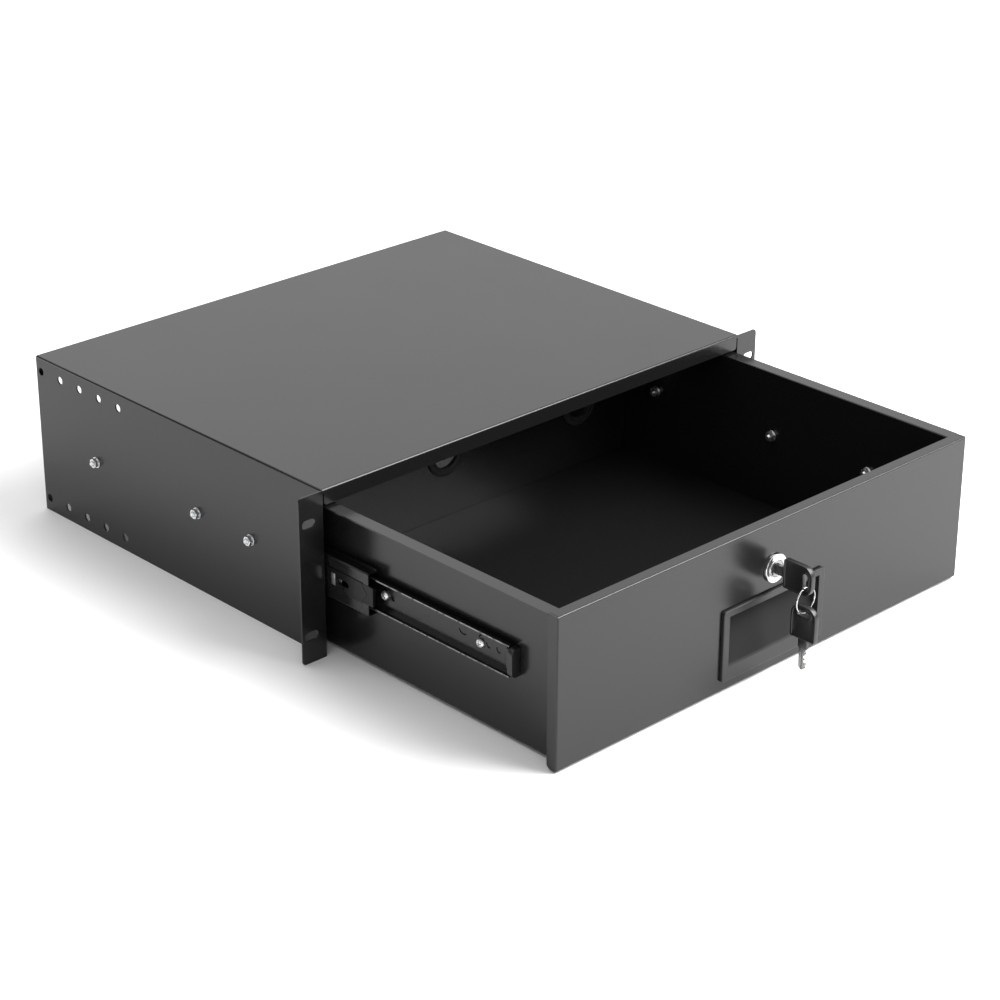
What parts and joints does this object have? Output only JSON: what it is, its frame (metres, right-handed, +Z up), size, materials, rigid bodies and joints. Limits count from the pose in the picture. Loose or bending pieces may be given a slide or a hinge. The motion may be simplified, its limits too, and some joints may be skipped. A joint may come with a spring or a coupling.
{
  "type": "sliding rack drawer",
  "caption": "Locking steel drawer on ball-bearing telescopic slides in a folded rack-mount case, with a cam lock, keys on a ring and a recessed pull.",
  "frame": {"origin": "centre of the four ear slots, on the front face of the ears", "axes": "+X to the right seen from the front, +Y to the rear, +Z up"},
  "size_m": [0.4826, 0.6254, 0.1332],
  "materials": {
    "case_coat": "satin",
    "drawer_coat": "satin",
    "handle_plastic": "textured",
    "grommet_rubber": "matte",
    "lock_chrome": "polished",
    "lock_zinc": "satin",
    "zinc_steel": "zinc plated",
    "rail_steel": "semi-gloss",
    "cage_steel": "bright",
    "ball_steel": "polished",
    "cap_plastic": "satin",
    "key_plastic": "satin",
    "key_nickel": "satin",
    "ring_steel": "polished"
  },
  "bodies": {
    "left_middle_member": {"left_middle_rail": "rail_steel", "left_slide_catch": "zinc_steel"},
    "left_outer_race": {"left_outer_cage": "cage_steel", "left_outer_balls": "ball_steel"},
    "left_inner_race": {"left_inner_cage": "cage_steel", "left_inner_balls": "ball_steel"},
    "right_middle_member": {"right_middle_rail": "rail_steel", "right_slide_catch": "zinc_steel"},
    "right_outer_race": {"right_outer_cage": "cage_steel", "right_outer_balls": "ball_steel"},
    "right_inner_race": {"right_inner_cage": "cage_steel", "right_inner_balls": "ball_steel"},
    "outer_case": {"case_shell": "case_coat", "lock_strike": "case_coat", "left_outer_rail": "rail_steel", "left_case_screws": "zinc_steel", "left_case_nuts": "zinc_steel", "right_outer_rail": "rail_steel", "right_case_screws": "zinc_steel", "right_case_nuts": "zinc_steel"},
    "drawer": {"drawer_box": "drawer_coat", "drawer_back": "drawer_coat", "drawer_front": "drawer_coat", "pull_handle": "handle_plastic", "cable_grommets": "grommet_rubber", "lock_housing": "lock_chrome", "lock_nut": "zinc_steel", "left_inner_rail": "rail_steel", "left_rail_cap": "cap_plastic", "left_drawer_screws": "zinc_steel", "left_drawer_nuts": "zinc_steel", "right_inner_rail": "rail_steel", "right_rail_cap": "cap_plastic", "right_drawer_screws": "zinc_steel", "right_drawer_nuts": "zinc_steel"},
    "turning_plug": {"lock_plug": "lock_zinc", "lock_cam": "zinc_steel", "cam_screw": "zinc_steel"},
    "lock_key": {"key_bow": "key_plastic", "key_blade": "key_nickel"},
    "split_ring": {"key_ring": "ring_steel"},
    "spare_key": {"spare_key_bow": "key_plastic", "spare_key_blade": "key_nickel"}
  },
  "joints": [
    {"name": "drawer_slide", "type": "slide", "parent": "outer_case", "child": "drawer", "axis": [0, -1, 0], "range_m": [-0.234, 0.066]},
    {"name": "left_middle_member_slide", "type": "slide", "parent": "outer_case", "child": "left_middle_member", "axis": [0, -1, 0], "range_m": [-0.0938, 0.0266]},
    {"name": "left_outer_race_slide", "type": "slide", "parent": "outer_case", "child": "left_outer_race", "axis": [0, -1, 0], "range_m": [-0.047, 0.0134]},
    {"name": "left_inner_race_slide", "type": "slide", "parent": "outer_case", "child": "left_inner_race", "axis": [0, -1, 0], "range_m": [-0.164, 0.0464]},
    {"name": "right_middle_member_slide", "type": "slide", "parent": "outer_case", "child": "right_middle_member", "axis": [0, -1, 0], "range_m": [-0.0938, 0.0266]},
    {"name": "right_outer_race_slide", "type": "slide", "parent": "outer_case", "child": "right_outer_race", "axis": [0, -1, 0], "range_m": [-0.047, 0.0134]},
    {"name": "right_inner_race_slide", "type": "slide", "parent": "outer_case", "child": "right_inner_race", "axis": [0, -1, 0], "range_m": [-0.164, 0.0464]},
    {"name": "lock_turn", "type": "hinge", "parent": "drawer", "child": "turning_plug", "pos_m": [0, -0.236, 0.01605], "axis": [0, -1, 0], "range_deg": [0, 90]},
    {"name": "key_withdraw", "type": "slide", "parent": "turning_plug", "child": "lock_key", "axis": [0, -1, 0], "range_m": [0, 0.025]},
    {"name": "ring_swing", "type": "hinge", "parent": "lock_key", "child": "split_ring", "pos_m": [0, -0.2641, 0.01115], "axis": [1, 0, 0], "range_deg": [-40, 12]},
    {"name": "spare_swing", "type": "hinge", "parent": "split_ring", "child": "spare_key", "pos_m": [0, -0.2641, -0.00835], "axis": [1, 0, 0], "range_deg": [-40, 12]}
  ],
  "couplings": [
    {"joint": "left_middle_member_slide", "follows": "drawer_slide", "ratio": 0.4},
    {"joint": "left_outer_race_slide", "follows": "drawer_slide", "ratio": 0.2},
    {"joint": "left_inner_race_slide", "follows": "drawer_slide", "ratio": 0.7},
    {"joint": "right_middle_member_slide", "follows": "drawer_slide", "ratio": 0.4},
    {"joint": "right_outer_race_slide", "follows": "drawer_slide", "ratio": 0.2},
    {"joint": "right_inner_race_slide", "follows": "drawer_slide", "ratio": 0.7}
  ]
}
